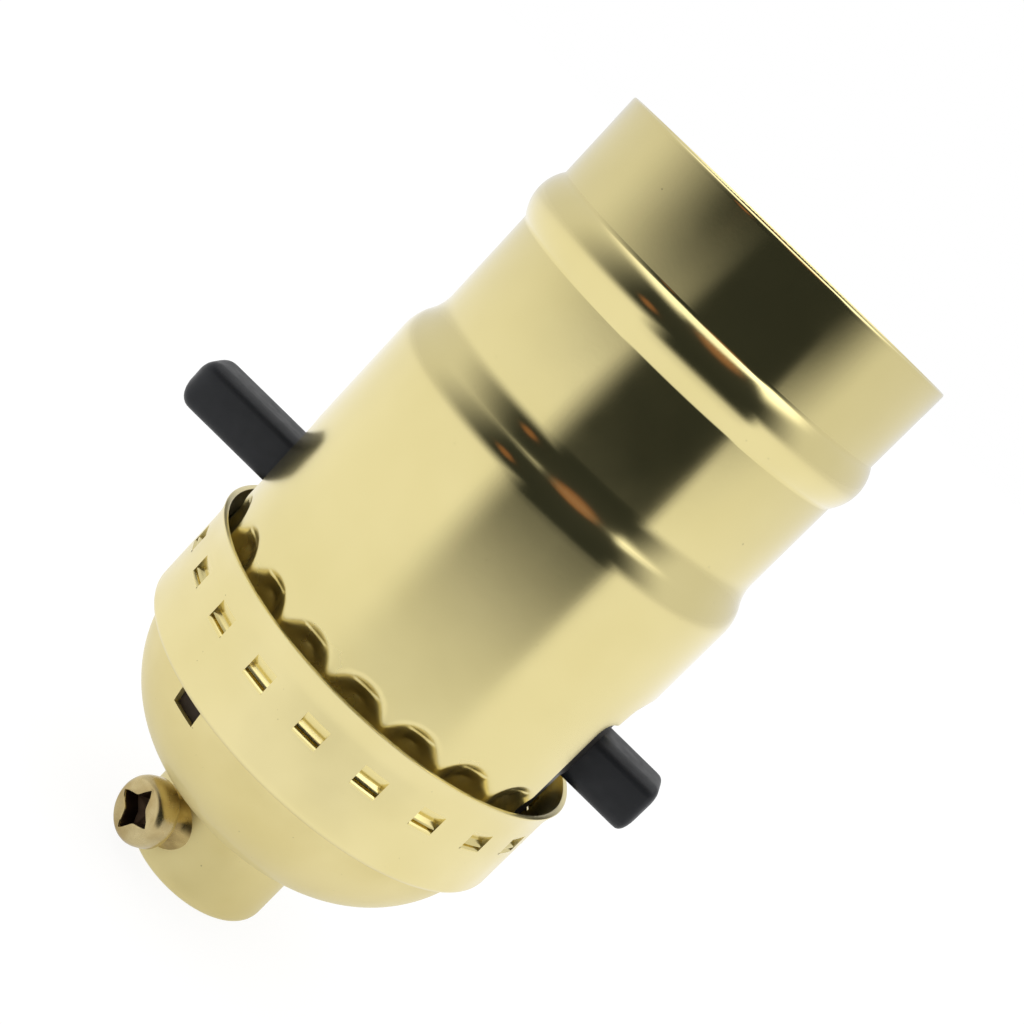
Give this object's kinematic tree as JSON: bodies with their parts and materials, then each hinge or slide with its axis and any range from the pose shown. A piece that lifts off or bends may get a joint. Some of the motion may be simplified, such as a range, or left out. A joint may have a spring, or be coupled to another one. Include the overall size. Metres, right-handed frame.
{
  "type": "lamp holder",
  "caption": "Metal lamp socket for a screw-in bulb, with a push-through switch bar, a threaded neck that stands on a lamp nipple and a cap that snaps onto the shell.",
  "frame": {"origin": "centre of the neck's lower face, on the socket's axis", "axes": "+Z along the socket's axis to the bulb's mouth; the push bar slides along X and rests pushed toward -X; the side hole and the set screw are on the -X, -Y side"},
  "size_m": [0.0515, 0.0378, 0.0726],
  "materials": {
    "cap_brass": "lacquered pale gold, satin",
    "shell_brass": "lacquered pale gold, polished",
    "thread_brass": "bare rolled brass",
    "bar_black": "black moulded, satin",
    "phenolic": "dark moulded phenolic",
    "fibre": "dark vulcanised fibre paper",
    "steel": "zinc plated",
    "plated_steel": "nickel plated",
    "spring_steel": "tempered strip",
    "screw_brass": "aged, darkened",
    "rivet_brass": "bare",
    "contact_bronze": "rolled bronze strip"
  },
  "bodies": {
    "base": {"cap": "cap_brass", "outer_shell": "shell_brass", "switch_base": "phenolic", "upper_body": "phenolic", "screw_shell": "thread_brass", "shell_liner": "fibre", "cap_liner": "fibre", "nipple_bushing": "steel", "center_contact": "contact_bronze", "fixed_contact": "contact_bronze", "center_rivet": "rivet_brass", "detent_spring": "spring_steel", "hot_terminal": "contact_bronze", "neutral_terminal": "plated_steel", "rocker_pin": "steel", "assembly_screws": "steel"},
    "push_bar": {"push_bar": "bar_black"},
    "rocker": {"contact_rocker": "contact_bronze"},
    "set_screw": {"set_screw": "screw_brass"},
    "hot_screw": {"hot_screw": "screw_brass"},
    "neutral_screw": {"neutral_screw": "plated_steel"}
  },
  "joints": [
    {"name": "bar_slide", "type": "slide", "parent": "base", "child": "push_bar", "axis": [1, 0, 0], "range_m": [0, 0.0054], "deforming": ["detent_spring"]},
    {"name": "rocker_swing", "type": "hinge", "parent": "base", "child": "rocker", "pos_m": [0, 0, 0.0402], "axis": [0, -1, 0], "range_deg": [0, 38]},
    {"name": "set_screw_turn", "type": "hinge", "parent": "base", "child": "set_screw", "pos_m": [0, 0, 0.00435], "axis": [-0.5764, -0.8171, 0], "continuous": true},
    {"name": "hot_screw_turn", "type": "hinge", "parent": "base", "child": "hot_screw", "pos_m": [0, 0, 0.025], "axis": [0, -1, 0], "continuous": true},
    {"name": "neutral_screw_turn", "type": "hinge", "parent": "base", "child": "neutral_screw", "pos_m": [0, 0, 0.025], "axis": [0, 1, 0], "continuous": true}
  ],
  "couplings": [
    {"joint": "rocker_swing", "follows": "bar_slide", "rad_per_m": 122.71}
  ]
}
